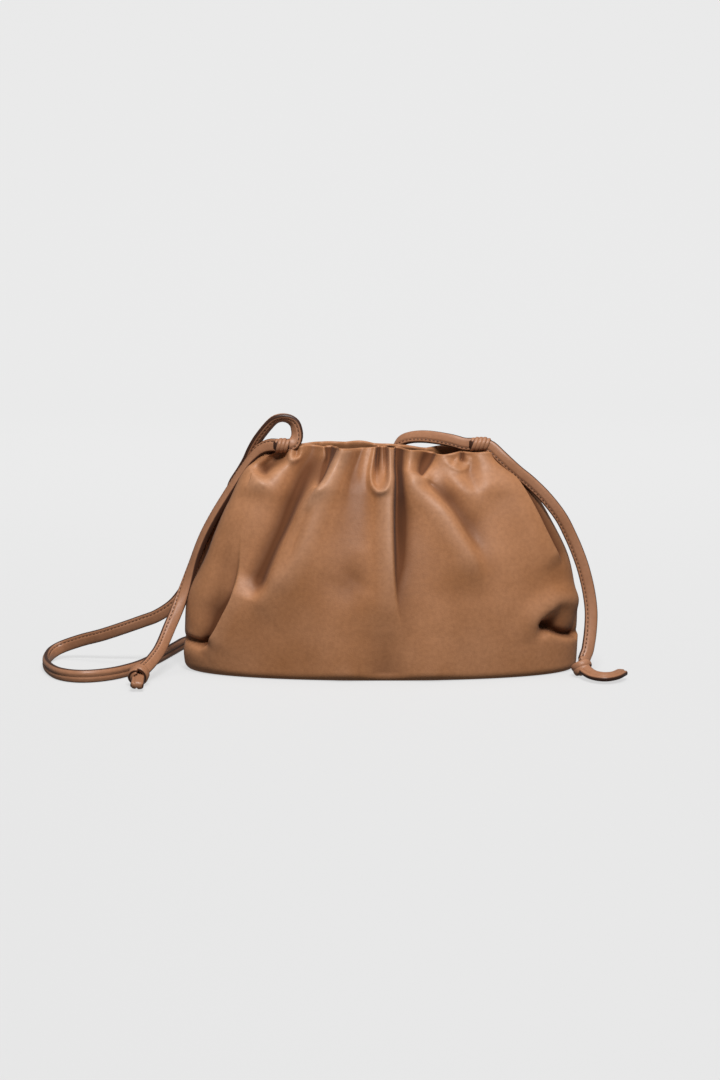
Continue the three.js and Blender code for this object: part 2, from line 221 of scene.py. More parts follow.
def strip_frames(line, facings):
    """The tangent, facing and side at each point. facings: (share of the length, direction)."""
    tangent = unit(np.gradient(line, axis=0))
    run = np.concatenate([[0], np.cumsum(np.linalg.norm(np.diff(line, axis=0), axis=1))])
    share = run / run[-1]
    marks = np.array([mark for mark, _ in facings])
    ways = np.array([way for _, way in facings], float)
    facing = np.column_stack([np.interp(share, marks, ways[:, k]) for k in range(3)])
    facing = facing - (facing * tangent).sum(1)[:, None] * tangent
    for _ in range(6):
        facing[1:-1] = (facing[:-2] + 2 * facing[1:-1] + facing[2:]) / 4
        facing = unit(facing - (facing * tangent).sum(1)[:, None] * tangent)
    return tangent, facing, np.cross(tangent, facing)


def sweep(line, frames, section, scale=None):
    """Points, faces and edge marks of a closed strip along the line, its ends shut by flat caps."""
    tangent, facing, side = frames
    size = np.ones(len(line)) if scale is None else scale
    count = len(section)
    rings = (
        line[:, None]
        + section[None, :, 0, None] * size[:, None, None] * side[:, None]
        + section[None, :, 1, None] * size[:, None, None] * facing[:, None]
    )
    points = np.vstack([rings.reshape(-1, 3), line[0], line[-1]])
    faces = ring_faces(len(line), count)
    first, last = len(points) - 2, len(points) - 1
    end = (len(line) - 1) * count
    for i in range(count):
        after = (i + 1) % count
        faces.append((first, after, i))
        faces.append((last, end + i, end + after))
    faces = [tuple(reversed(face)) for face in faces]
    widest = np.abs(section[:, 0]).max()
    seam = (section[:, 1] < 0) * np.exp(-((section[:, 0] / (0.12 * widest)) ** 2))
    mark = np.maximum(np.abs(section[:, 0]) / widest, seam)
    return points, faces, np.concatenate([np.tile(mark, len(line)), [0.5, 0.5]])


# share of the length, direction in which the stitched face looks
FRONT = (0, -1, 0)
strap_facings = [
    (0.0, FRONT), (0.012, (-0.6, -0.8, 0)), (0.036, (0, -0.35, -1)), (0.06, (0.5, -0.5, -0.6)),
    (0.09, (0.75, -0.55, -0.4)), (0.18, (0.75, -0.6, -0.3)), (0.23, FRONT), (0.27, FRONT),
    (0.33, (0.1, -1, 0)), (0.355, (0.5, -0.9, 0)), (0.375, (1, 0, 0)),
    (0.40, (1, 0.6, 0)), (0.43, (0.3, 1, 0)), (0.46, (-0.4, 1, 0)), (0.50, (-1, 0.7, 0)),
    (0.56, (-1, 0.4, 0)), (0.60, (-0.6, 1, 0)), (0.66, (0, 1, 0)), (0.74, (0.2, 1, 0)), (0.80, (0, 1, 0.1)),
    (0.90, (0, 1, 0.3)), (0.92, (0, 0.2, 1)), (0.935, (0, -0.7, 0.7)), (0.965, (0, -0.9, 0.3)),
    (1.0, FRONT),
]
left_facings = [
    (0.0, FRONT), (0.05, (-0.2, -0.8, 0.5)), (0.13, (-0.8, -0.5, 0.4)), (0.5, (-0.85, -0.55, 0.2)),
    (0.68, FRONT), (0.8, (0.5, -0.8, 0.3)), (0.93, (0.5, -0.75, 0.4)), (1.0, (0.5, -0.3, 0.8)),
]
right_facings = [(0.0, FRONT), (0.8, FRONT), (1.0, (0.3, -1, 0))]
cord_lines = {
    "folded_strap": (strap_line, strap_facings),
    "left_free_end": (left_line, left_facings),
    "right_free_end": (right_line, right_facings),
}
cord_frames = {}
cord_pieces = {}
for name, (line, facings) in cord_lines.items():
    cord_frames[name] = strip_frames(line, facings)
    points, faces, marks = sweep(line, cord_frames[name], strip_section())
    cord_pieces[name] = make_object(name, points, faces, marks)
    print(name, len(faces), "faces")

# %% [markdown]
# ## The ties
#
# Where the cord is tied it winds several times round itself. A winding is a helix, so one line makes it:
# the strip's section, laid flat, follows a screw line whose turns lie side by side.

# %% Wound ties
TIE_RADIUS = 4.5 * MM
TURN_THICKNESS = 0.9 * MM
CORE_SIDES = 24


def tie_core(length):
    """The bundle inside the turns: a closed barrel that is drawn in at both ends."""
    angles = np.linspace(0, 2 * math.pi, CORE_SIDES, endpoint=False)
    places = np.linspace(-0.5, 0.5, 6) * length
    sizes = np.array([0.55, 0.8, 0.84, 0.84, 0.8, 0.55]) * TIE_RADIUS
    points = [(x, size * math.cos(a), size * math.sin(a)) for x, size in zip(places, sizes) for a in angles]
    points += [(places[0], 0, 0), (places[-1], 0, 0)]
    faces = ring_faces(len(places), CORE_SIDES)
    first, last = len(points) - 2, len(points) - 1
    end = first - CORE_SIDES
    for i in range(CORE_SIDES):
        after = (i + 1) % CORE_SIDES
        faces.append((first, after, i))
        faces.append((last, end + i, end + after))
    return points, [tuple(reversed(face)) for face in faces]


def winding(name, centre, length, turns, lean):
    """Turns of the strip round a bundle that lies along X, drawn in a little at both ends."""
    count = int(turns * 36)
    angle = np.linspace(0, turns * 2 * math.pi, count) + 0.6
    along = np.linspace(-0.5, 0.5, count) * length * (1 - 1 / (turns + 1))
    out = np.column_stack([np.zeros(count), -np.cos(angle), np.sin(angle)])
    pinch = 1 - 0.16 * np.abs(np.linspace(-1, 1, count)) ** 4
    line = out * ((TIE_RADIUS - TURN_THICKNESS) * pinch)[:, None]
    line[:, 0] = along + lean * np.sin(angle) * TIE_RADIUS * 0.3
    tangent = unit(np.gradient(line, axis=0))
    section = flat_section(16, length / (turns + 1) * 0.56, TURN_THICKNESS, 0.75)
    shut = np.minimum(1, np.minimum(np.arange(count), np.arange(count)[::-1]) / 4 * 0.4 + 0.6)
    points, faces, marks = sweep(line, (tangent, out, np.cross(tangent, out)), section, shut)
    core_points, core_faces = tie_core(length)
    faces += [tuple(len(points) + i for i in face) for face in core_faces]
    points = np.vstack([points, core_points]) + np.array(centre) * MM
    marks = np.concatenate([marks, np.full(len(core_points), 1.0)])
    print(name, "turns", turns, "faces", len(faces))
    return make_object(name, points, faces, marks)


left_tie = winding("left_tie", (-60.2, -2, 138), 9.6 * MM, 3.2, 0.5)
right_tie = winding("right_tie", (59.6, -2.4, 138.8), 12.4 * MM, 4.2, 0.8)

# %% [markdown]
# ## The end knots
#
# Each free end stops in a small overhand knot: the strip turns round itself, one turn crosses the others,
# and a short tail with a cut end comes out. Tied tightly, all that shows is a collar of turns, so the knot
# is modelled as that collar, a crossing turn and the tail.

# %% End knots
COLLAR_HALF_WIDTH, COLLAR_HALF_HEIGHT = 2.3 * MM, 1.45 * MM


def basis_along(axis):
    axis = np.array(axis, float)
    axis /= np.linalg.norm(axis)
    first = np.cross(axis, (0, 0, 1))
    first /= np.linalg.norm(first)
    return first, np.cross(first, axis), axis


def merge_parts(name, parts):
    points, faces, marks = [], [], []
    offset = 0
    for part_points, part_faces, part_marks in parts:
        points.append(np.asarray(part_points))
        faces += [tuple(offset + i for i in face) for face in part_faces]
        marks.append(part_marks)
        offset += len(part_points)
    return make_object(name, np.vstack(points), faces, np.concatenate(marks))


def collar(centre, axis, radius, length, turns, lean):
    """Turns of the strip round an axis, with ends that taper away under their neighbours."""
    first, second, along = basis_along(axis)
    count = int(turns * 40)
    angle = np.linspace(0, turns * 2 * math.pi, count) + 1.0
    shift = np.linspace(-0.5, 0.5, count) * length + lean * np.sin(angle) * length * 0.35
    out = np.cos(angle)[:, None] * first + np.sin(angle)[:, None] * second
    line = np.array(centre) + out * (radius - COLLAR_HALF_HEIGHT) + shift[:, None] * along
    tangent = unit(np.gradient(line, axis=0))
    facing = unit(out - (out * tangent).sum(1)[:, None] * tangent)
    section = flat_section(18, COLLAR_HALF_WIDTH, COLLAR_HALF_HEIGHT, 0.8)
    taper = np.clip(np.minimum(np.arange(count), np.arange(count)[::-1]) / 10, 0, 1) * 0.35 + 0.65
    return sweep(line, (tangent, facing, np.cross(tangent, facing)), section, taper)


def tail(route, facings):
    line = smooth_line(np.array(route) * MM, 1.0 * MM)
    return sweep(line, strip_frames(line, facings), strip_section())


LEFT_KNOT = (-144.4, -51.6, 6.5)
RIGHT_KNOT = (121.4, -26, 6.5)
left_tail_route = [(-144, -48, 7.4), (-144.4, -54, 5.4), (-144.2, -62, 4.4), (-144, -70, 4)]
right_tail_route = [
    (121.8, -25, 8), (122.8, -30, 5.6), (126.6, -40, 4.2), (133, -45.6, 4), (140, -42, 4),
    (145, -33, 4),
]
left_centre = np.array(LEFT_KNOT) * MM
right_centre = np.array(RIGHT_KNOT) * MM
left_knot = merge_parts("left_end_knot", [
    collar(left_centre, (-0.15, -0.9, -0.25), 6.2 * MM, 5.2 * MM, 2.1, 0.1),
    collar(left_centre, (0.35, -0.75, -0.5), 5.9 * MM, 2.4 * MM, 1.0, 0.3),
    tail(left_tail_route, [(0, (0, 0, 1)), (1, (0.1, 0, 1))]),
])
right_knot = merge_parts("right_end_knot", [
    collar(right_centre, (0.45, -0.45, -0.75), 6.2 * MM, 5.6 * MM, 2.1, 0.1),
    collar(right_centre, (0.9, -0.3, -0.2), 5.9 * MM, 2.6 * MM, 1.0, 0.4),
    tail(right_tail_route, [(0, (0, -1, 0.4)), (0.35, (0, -0.5, 1)), (1, (0, 0, 1))]),
])
print("knots", len(left_knot.data.polygons), len(right_knot.data.polygons), "faces")

for obj, node in (
    (cord_pieces["folded_strap"], "strap"),
    (cord_pieces["left_free_end"], "tie_end_left"),
    (cord_pieces["right_free_end"], "tie_end_right"),
    (left_tie, "wrap_left"),
    (right_tie, "wrap_right"),
    (left_knot, "end_knot_left"),
    (right_knot, "end_knot_right"),
):
    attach(obj, "root")
    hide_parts(node)
print("the cord's pieces stand for their solids")

# %% [markdown]
# ## The pouch
#
# The pouch is one bag of soft nappa. Cloth simulation would gather it anew each run, with folds that fall
# where they like, but this bag has known folds. So it is built as a skin over the same smooth form as the
# solid, and each pleat is a stroke on it: a line down the front with a profile across it. Three profiles
# are enough: a round ridge, a soft valley, and a step where one fold lies over the next.

# %% Form of the pouch
BODY_WIDTH, BODY_HEIGHT, BODY_DEPTH = 240 * MM, 138 * MM, 84 * MM
RIM_WIDTH, MOUTH_DEPTH = 146 * MM, 21 * MM
WALL, BASE_RADIUS = 2 * MM, 5 * MM
RIM_DIP = 5 * MM
CORD_DIP, CORD_DIP_PLACE, CORD_DIP_REACH = 3.2 * MM, 0.42, 0.28
COLUMN_EVENNESS = 0.45
BASE_SQUARENESS, RIM_SQUARENESS = 2.2, 4.5
SECTION_ROUNDNESS = 0.52
# height, left, right, depth: shares from the widest section to the rim
OUTLINE = np.array([
    (0.0, 0.0, 0.0, 0.0),
    (0.18, 0.0, -0.02, 0.0),
    (0.34, 0.04, 0.02, 0.04),
    (0.51, 0.21, 0.14, 0.2),
    (0.69, 0.42, 0.4, 0.46),
    (0.82, 0.62, 0.63, 0.68),
    (0.93, 0.8, 0.82, 0.87),
    (1.0, 1.0, 1.0, 1.0),
])


def ease(t):
    t = np.clip(t, 0, 1)
    return t * t * (3 - 2 * t)


def along_outline(column, height):
    """One column of the outline at these heights, on a smooth curve through its values."""
    h, v = OUTLINE[:, 0], OUTLINE[:, column]
    slope = np.gradient(v, h)
    slope[1:-1] = (v[2:] - v[:-2]) / (h[2:] - h[:-2])
    i = np.clip(np.searchsorted(h, height, side="left") - 1, 0, len(h) - 2)
    span = h[i + 1] - h[i]
    t = np.clip((height - h[i]) / span, 0, 1)
    r = 1 - t
    values = v[i] * r * r * (1 + 2 * t) + v[i + 1] * t * t * (1 + 2 * r)
    return values + span * t * r * (slope[i] * r - slope[i + 1] * t)


def smooth_skin(turn, height):
    """Points of the form without folds. turn runs from -1 to 1 over the front and on to 3 over the back."""
    turn = np.where(turn < -1, turn + 4, np.where(turn > 3, turn - 4, turn))
    front = turn <= 1
    along = np.where(front, turn, 2 - turn)
    across = COLUMN_EVENNESS * along + (1 - COLUMN_EVENNESS) * np.sin(along * math.pi / 2)
    z = height * BODY_HEIGHT
    low = np.maximum(BASE_RADIUS - z, 0)
    inset = BASE_RADIUS - np.sqrt(BASE_RADIUS**2 - low**2)
    side = np.where(across < 0, along_outline(1, height), along_outline(2, height))
    half_width = (BODY_WIDTH + (RIM_WIDTH - BODY_WIDTH) * side) / 2 - inset
    half_depth = (BODY_DEPTH + (MOUTH_DEPTH - BODY_DEPTH) * along_outline(3, height)) / 2 - inset
    squareness = BASE_SQUARENESS + (RIM_SQUARENESS - BASE_SQUARENESS) * ease(height * 1.6 - 0.6)
    bulge = np.maximum(1 - np.abs(across) ** squareness, 0) ** SECTION_ROUNDNESS
    sag = CORD_DIP * np.exp(-(((across - CORD_DIP_PLACE) / CORD_DIP_REACH) ** 2))
    dip = (RIM_DIP * np.abs(across) ** 8 + sag) * ease(height * 5 - 4)
    return np.stack([across * half_width, np.where(front, -1, 1) * half_depth * bulge, z - dip], axis=-1)


def skin_normal(turn, height):
    step = 0.012
    top = np.minimum(height + step, 1)
    bottom = np.minimum(np.maximum(height - step, BASE_RADIUS / BODY_HEIGHT / 3), top - step)
    across = smooth_skin(turn + step, height) - smooth_skin(turn - step, height)
    up = smooth_skin(turn, top) - smooth_skin(turn, bottom)
    return unit(np.cross(across, up))


# x in mm, drop of the front's rim in mm
FRONT_DROP = [
    (-80, 2.4), (-73, 2.2), (-55, 2.4), (-47, 1.6), (-30, 1.2), (22, 1.2), (30, 2.2), (46, 2.4), (52, 3.2),
    (70, 3.2), (80, 2),
]


def front_drop(x, y, height):
    """How far the front's rim hangs below the back's, so that the gathers behind it show."""
    places, drops = np.array(FRONT_DROP).T * MM
    return np.interp(x, places, drops) * ease((height - 0.8) / 0.2) * ease(0.6 - y / (7 * MM))


print("skin point at the front", smooth_skin(np.array([0.0]), np.array([0.5])).round(4))

# %% [markdown]
# ## The folds
#
# Each fold has a path in the front view. x is a share of half the body's width and h of its height, and the
# path mostly runs down from the rim. Its profile has its own reach to the left and right, and one height at
# the top and one at the foot, in millimetres. A step is proud on its right side and sunk on its left.
# step_left is the other way round, and beside lap_left the leather is hardly sunk.

# %% Folds of the front
# name: (kind, path, (rise at top, rise at foot), (left reach, right reach), spread at foot, fade-out share)
FRONT_FOLDS = {
    "corner_bowl": (
        "valley", [(-0.53, 0.975), (-0.59, 0.94), (-0.65, 0.89)],
        (-14, -11), (6.5, 7.5), 1.1, 0.3,
    ),
    "bowl_lip": (
        "ridge", [(-0.46, 0.965), (-0.54, 0.9), (-0.61, 0.85), (-0.665, 0.83), (-0.71, 0.865)],
        (3.4, 2.8), (5, 5), 1.1, 0.4,
    ),
    "left_pinch": ("valley", [(-0.427, 1.01), (-0.43, 0.96)], (-6, -4), (1.8, 1.8), 1.0, 0.2),
    "left_pinch_lip": (
        "ridge",
        [(-0.461, 0.98), (-0.443, 0.952), (-0.41, 0.96), (-0.39, 0.99)],
        (0.8, 0.7), (1.8, 1.8), 1.0, 0.2,
    ),
    "left_pleat": (
        "ridge", [(-0.4, 0.99), (-0.446, 0.936), (-0.5, 0.87), (-0.57, 0.8), (-0.63, 0.72)],
        (6.0, 1.5), (8, 7), 1.3, 0.5,
    ),
    "long_valley": (
        "valley",
        [(-0.345, 1.0), (-0.376, 0.925), (-0.406, 0.874), (-0.45, 0.782), (-0.5, 0.67), (-0.554, 0.574),
         (-0.63, 0.42), (-0.66, 0.34)],
        (-13, -7.5), (9.5, 6.2), 1.3, 0.16,
    ),
    "pleat_flap": (
        "step_left", [(-0.283, 1.01), (-0.272, 0.967), (-0.263, 0.93)],
        (3.4, 1.0), (7, 3), 1.0, 0.5,
    ),
    "overlap_pocket": (
        "valley",
        [(-0.25, 1.01), (-0.262, 0.95), (-0.28, 0.89), (-0.31, 0.84), (-0.36, 0.77)],
        (-7, -3), (2.6, 1.6), 1.0, 0.8,
    ),
    "long_overlap": (
        "step",
        [(-0.215, 1.0), (-0.241, 0.955), (-0.261, 0.921), (-0.285, 0.874), (-0.311, 0.833), (-0.39, 0.725)],
        (4.4, 1.0), (4, 12), 1.0, 0.5,
    ),
    "left_crest": (
        "ridge",
        [(-0.33, 0.81), (-0.39, 0.749), (-0.44, 0.676), (-0.49, 0.59), (-0.532, 0.503), (-0.574, 0.4),
         (-0.615, 0.31), (-0.65, 0.262)],
        (4.6, 3), (3.4, 5.5), 1.2, 0.36,
    ),
    "crest_crease": (
        "valley", [(-0.37, 0.717), (-0.405, 0.652), (-0.434, 0.582), (-0.46, 0.52)],
        (-1.0, -0.4), (2, 2.5), 1.0, 0.3,
    ),
    "long_ridge": (
        "ridge",
        [(-0.19, 1.0), (-0.205, 0.959), (-0.246, 0.882), (-0.291, 0.796), (-0.333, 0.7),
         (-0.419, 0.519), (-0.54, 0.375), (-0.61, 0.315), (-0.65, 0.275)],
        (9, 4), (6.5, 12), 1.2, 0.3,
    ),
    "left_centre_valley": (
        "valley",
        [(-0.095, 1.0), (-0.121, 0.943), (-0.14, 0.9), (-0.161, 0.837), (-0.18, 0.758), (-0.195, 0.67)],
        (-5.5, -0.6), (6, 4.6), 1.3, 0.7,
    ),
    "beside_slot": (
        "ridge", [(-0.072, 1.0), (-0.085, 0.905), (-0.095, 0.8)],
        (2.5, 1.0), (3.5, 3.5), 1.2, 0.5,
    ),
    "left_hollow": ("valley", [(-0.13, 0.44), (-0.17, 0.36), (-0.21, 0.28)], (-2.2, -0.6), (13, 6), 1.1, 0.8),
    "hollow_edge": (
        "ridge", [(-0.1, 0.55), (-0.124, 0.446), (-0.155, 0.352), (-0.185, 0.22)],
        (0.6, 0.9), (3.5, 9), 1.3, 0.8,
    ),
    "centre_ridge": (
        "ridge", [(0.012, 0.79), (0.016, 0.61), (0.012, 0.36), (0.006, 0.165)],
        (4.6, 1.8), (8, 7), 1.4, 0.3,
    ),
    "centre_crease": (
        "step_left",
        [(0.073, 1.0), (0.069, 0.917), (0.072, 0.859), (0.067, 0.796), (0.065, 0.646), (0.069, 0.466),
         (0.082, 0.344), (0.119, 0.165)],
        (4.5, 2.0), (7, 6), 1.1, 0.45,
    ),
    "crease_shade": (
        "valley", [(0.083, 1.01), (0.079, 0.92), (0.082, 0.86), (0.077, 0.72), (0.08, 0.6), (0.09, 0.4)],
        (-10, -5), (1.2, 3.8), 1.3, 0.45,
    ),
    "right_centre_ridge": (
        "ridge", [(0.15, 1.0), (0.131, 0.937), (0.123, 0.887), (0.135, 0.828), (0.152, 0.766), (0.175, 0.69)],
        (6, 2.5), (4.2, 5.5), 1.8, 0.4,
    ),
    "deep_pocket": (
        "valley", [(0.262, 1.0), (0.235, 0.955), (0.205, 0.916), (0.183, 0.874)],
        (-8, -5), (5, 4), 1.0, 0.15,
    ),
    "pocket_flap": (
        "step", [(0.283, 1.0), (0.262, 0.958), (0.243, 0.928), (0.2, 0.872)],
        (3.6, 2.4), (3, 9), 1.0, 0.14,
    ),
    "right_finger": (
        "ridge",
        [(0.185, 0.865), (0.221, 0.837), (0.255, 0.796), (0.314, 0.725), (0.37, 0.654), (0.429, 0.564),
         (0.463, 0.491), (0.483, 0.425), (0.49, 0.36)],
        (5.6, 4.6), (12, 5), 1.3, 0.34,
    ),
    "right_valley": (
        "valley",
        [(0.25, 0.845), (0.301, 0.807), (0.361, 0.755), (0.414, 0.686), (0.46, 0.615), (0.494, 0.558),
         (0.54, 0.48)],
        (-5.5, -3), (4, 7.5), 1.3, 0.5,
    ),
    "broad_right_fold": (
        "ridge", [(0.33, 1.0), (0.372, 0.883), (0.445, 0.778), (0.51, 0.685)],
        (4.5, 2), (7, 11), 1.5, 0.4,
    ),
    "rim_notch": ("valley", [(0.411, 1.01), (0.41, 0.966), (0.407, 0.945)], (-6, -4), (1.5, 1.5), 1.0, 0.2),
    "notch_lip": (
        "ridge",
        [(0.337, 0.946), (0.381, 0.918), (0.412, 0.916), (0.435, 0.94), (0.441, 0.985)],
        (0.8, 1.8), (2, 2), 1.0, 0.1,
    ),
    "notch_hollow": ("valley", [(0.343, 0.974), (0.38, 0.95)], (-2, -2), (4, 4), 1.0, 0.3),
    "right_shade": (
        "valley", [(0.435, 0.98), (0.447, 0.898), (0.476, 0.819), (0.51, 0.75)],
        (-3.5, -1), (5, 5), 1.4, 0.4,
    ),
    "right_light": (
        "ridge", [(0.488, 0.985), (0.517, 0.902), (0.537, 0.84), (0.552, 0.765)],
        (3, 1), (5, 9), 1.5, 0.4,
    ),
    "right_panel_edge": (
        "lap_left",
        [(0.57, 0.985), (0.618, 0.932), (0.662, 0.885), (0.716, 0.815), (0.779, 0.719), (0.824, 0.641),
         (0.871, 0.56), (0.92, 0.48)],
        (2.6, 2.6), (10, 7), 1.0, 0.12,
    ),
    "left_panel_edge": (
        "step",
        [(-0.715, 0.58), (-0.725, 0.483), (-0.752, 0.364), (-0.804, 0.265), (-0.838, 0.201),
         (-0.88, 0.14), (-0.92, 0.1)],
        (0.2, 4.8), (7, 14), 0.9, 0.2,
    ),
    "left_gusset_hollow": (
        "valley", [(-0.784, 0.6), (-0.819, 0.423), (-0.871, 0.267), (-0.914, 0.19)],
        (-1, -3.6), (8, 7), 1.0, 0.3,
    ),
    "left_corner_tuck": (
        "valley", [(-0.885, 0.145), (-0.93, 0.14), (-1.02, 0.15)],
        (-6.5, -3), (1.8, 2.4), 1.0, 0.1,
    ),
    "left_corner_pad": (
        "ridge", [(-0.86, 0.07), (-0.94, 0.08), (-1.02, 0.08)],
        (1.5, 1.5), (7, 7), 1.0, 0.05,
    ),
    "corner_arc": (
        "ridge", [(1.0, 0.317), (0.9, 0.33), (0.852, 0.305), (0.805, 0.262), (0.768, 0.203), (0.76, 0.14)],
        (3.0, 3.8), (9, 5), 1.0, 0.4,
    ),
    "corner_hollow": ("valley", [(0.86, 0.225), (0.825, 0.205), (0.81, 0.15)], (-4, -2), (5, 6), 1.1, 0.8),
    "corner_slit": (
        "valley", [(0.835, 0.228), (0.868, 0.212), (0.905, 0.19), (0.949, 0.173), (1.01, 0.162)],
        (-3, -4), (2.2, 9), 1.0, 0.02,
    ),
    "corner_wedge": (
        "valley", [(0.82, 0.232), (0.868, 0.212), (0.905, 0.19), (0.949, 0.173), (1.01, 0.162)],
        (-7, -3.5), (1.6, 1.8), 1.0, 0.02,
    ),
    "low_centre_dip": (
        "valley", [(0.024, 0.22), (0.02, 0.12), (0.015, -0.1)],
        (-0.2, -3.4), (8, 10), 1.5, 0.02,
    ),
    "low_left_swell": ("ridge", [(-0.18, 0.2), (-0.19, -0.1)], (0.8, 3.4), (12, 12), 1.0, 0.02),
    "low_right_swell": ("ridge", [(0.25, 0.2), (0.244, -0.1)], (0.8, 3.4), (13, 13), 1.0, 0.02),
}
SLOT_BEAD = [
    (-0.025, 1.0), (-0.04, 0.95), (-0.05, 0.89), (-0.045, 0.84), (-0.022, 0.808), (0.0, 0.802),
    (0.025, 0.812), (0.042, 0.85), (0.043, 0.9), (0.04, 0.94), (0.036, 1.0),
]
SLOT_GROOVES = (
    [(-0.013, 1.01), (-0.02, 0.93), (-0.022, 0.86)],
    [(0.024, 1.01), (0.026, 0.93), (0.022, 0.86)],
)
SLOT_FLOOR = [(0.004, 1.01), (0.002, 0.93), (0.0, 0.86)]
print(len(FRONT_FOLDS), "folds and one pinched slot")

# %% Relief of the folds


def nearest_on(path, x, z):
    """Distance to a path of the front view, share along it and which side (1 right of a downward path)."""
    line = np.array([(px * BODY_WIDTH / 2, 0, ph * BODY_HEIGHT) for px, ph in path])
    line = smooth_line(line, 1.5 * MM)[:, [0, 2]]
    best = np.full(x.shape, np.inf)
    share = np.zeros(x.shape)
    side = np.ones(x.shape)
    pieces = len(line) - 1
    for i in range(pieces):
        dx, dz = line[i + 1] - line[i]
        ox, oz = x - line[i][0], z - line[i][1]
        s = np.clip((ox * dx + oz * dz) / (dx * dx + dz * dz), 0, 1)
        away = np.hypot(ox - s * dx, oz - s * dz)
        closer = away < best
        best = np.where(closer, away, best)
        share = np.where(closer, (i + s) / pieces, share)
        side = np.where(closer, np.sign(dx * oz - dz * ox), side)
    return best, share, side


def fold_relief(kind, path, rises, reaches, spread, fade, x, z, shade_only=False):
    """Height of one fold over the smooth form, or with shade_only how far its lap shades what it covers."""
    away, share, side = nearest_on(path, x, z)
    widen = 1 + (spread - 1) * share
    both = sum(reaches) / 2
    own_side = 1 if path[0][1] > 0.92 else ease(share / 0.3)
    reach = (both + (np.where(side < 0, reaches[0], reaches[1]) - both) * own_side) * MM * widen
    rise = (rises[0] + (rises[1] - rises[0]) * share) * MM
    u = away / reach
    faded = ease((1 - share) / fade)
    if kind == "ridge":
        return rise * np.exp(-(u**2)) * faded
    if kind == "valley":
        return rise * np.exp(-((u**2 + 0.01) ** 0.75)) * faded
    proud = 1 if kind == "step" else -1
    turned = ease(0.5 + 0.5 * proud * side * away / (1.0 * MM))
    if shade_only:
        return np.clip(rise / (3 * MM), 0, 1) * (1 - turned) * np.exp(-1.4 * u) * faded
    high = np.exp(-(u**2)) * rise
    low = (-0.1 if kind == "lap_left" else -0.8) * np.exp(-u * 1.2) * rise
    return (high * turned + low * (1 - turned)) * faded


def overlap_shade(x, z):
    """How much of the light an overlapping fold keeps off the leather beside it, from 0 to 1."""
    total = np.zeros(x.shape)
    for kind, *shape in FRONT_FOLDS.values():
        if kind not in ("ridge", "valley"):
            total += fold_relief(kind, *shape, x, z, shade_only=True)
    return np.clip(total, 0, 1)


def front_relief(x, z):
    total = np.zeros(x.shape)
    for fold in FRONT_FOLDS.values():
        total += fold_relief(*fold, x, z)
    away, _, _ = nearest_on(SLOT_BEAD, x, z)
    total += 3.0 * MM * np.exp(-((away / (1.9 * MM)) ** 2))
    away, share, _ = nearest_on(SLOT_FLOOR, x, z)
    total -= 3.2 * MM * np.exp(-((away / (3.4 * MM)) ** 3)) * ease((1 - share) / 0.7)
    for groove in SLOT_GROOVES:
        away, share, _ = nearest_on(groove, x, z)
        total -= 5.0 * MM * np.exp(-((away / (1.2 * MM)) ** 2)) * ease((1 - share) / 0.7)
    return total


# place and reach as shares of half the gathered width, and how high the gather stands beside the others
BACK_GATHERS = [
    (-0.83, 0.1, 0.9), (-0.6, 0.09, 1.1), (-0.38, 0.08, 0.8), (-0.16, 0.09, 1.2), (0.06, 0.08, 0.9),
    (0.27, 0.09, 1.15), (0.5, 0.1, 0.85), (0.74, 0.1, 1.05),
]
BACK_GATHER_HEIGHT = 4.2 * MM


def back_relief(x, height):
    waves = np.zeros(x.shape)
    for place, reach, rise in BACK_GATHERS:
        gathered = RIM_WIDTH / 2 * (1.75 - 0.75 * height)
        u = (x / gathered - place) / reach
        waves += rise * (np.exp(-(u**2)) - 0.75 * np.exp(-np.abs(u - 1.15) * 2.4))
    return BACK_GATHER_HEIGHT * waves * ease(height * 2 - 0.9)


LEFT_GUSSET, RIGHT_GUSSET = 4.0 * MM, -1.2 * MM


def relief(point, height):
    """All that stands out from the smooth form: gussets, front folds and the gathers of the back."""
    x, y, z = point[..., 0], point[..., 1], point[..., 2]
    near = np.clip(height * BODY_HEIGHT / BASE_RADIUS, 0, 1)
    seam = np.exp(-((y / (MOUTH_DEPTH * 0.45)) ** 2)) * np.abs(x) / (BODY_WIDTH / 2)
    drawn_in = np.where(x < 0, LEFT_GUSSET, RIGHT_GUSSET)
    gusset = -drawn_in * seam * ease(height * 4 - 1.2) * ease((1 - height) * 4)
    front = front_relief(x, z) * near * (0.25 + 0.75 * ease(-y / (MOUTH_DEPTH / 3)))
    back = back_relief(x, height) * ease(y / (MOUTH_DEPTH / 2))
    deepest = (8 + 10 * ease((1 - height) * 4)) * MM
    total = gusset + np.where(y > 0, back, front)
    return np.where(total < 0, -deepest * np.tanh(-total / deepest), total)


print("relief of the front at the long ridge", front_relief(np.array([-0.048]), np.array([0.09])).round(5))

# %% [markdown]
# ## One skin for the pouch
#
# The skin is a grid of columns round the pouch and rows up it, fine on the front where the folds show and
# coarser behind. At the rim it turns over a rounded hem and goes down inside as the inner wall, so the
# piece is one closed body with the real leather's thickness. The inner wall has few rows. Each is set by
# the deepest fold between it and the next, so that no part of it pokes out through a valley.

# %% Build the pouch


def blurred(field, axis, reach):
    """The field averaged over its neighbours within reach steps along one axis."""
    weights = np.hanning(2 * reach + 3)[1:-1]
    weights /= weights.sum()
    widths = [(reach, reach) if k == axis else (0, 0) for k in (0, 1)]
    padded = np.pad(field, widths, mode="edge")
    return np.apply_along_axis(lambda line: np.convolve(line, weights, "valid"), axis, padded)


FRONT_COLUMNS, BACK_COLUMNS, WALL_ROWS = ((380, 150, 150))
HEM_RADIUS = 1.25 * MM
FLOOR_INSET = 4.5 * MM
CREST_REACH = 26 * MM
# depth in mm, waves for each unit of turn, start
RIM_WAVES = ((0.5, 9.1, 0), (0.35, 23.7, 1.3))

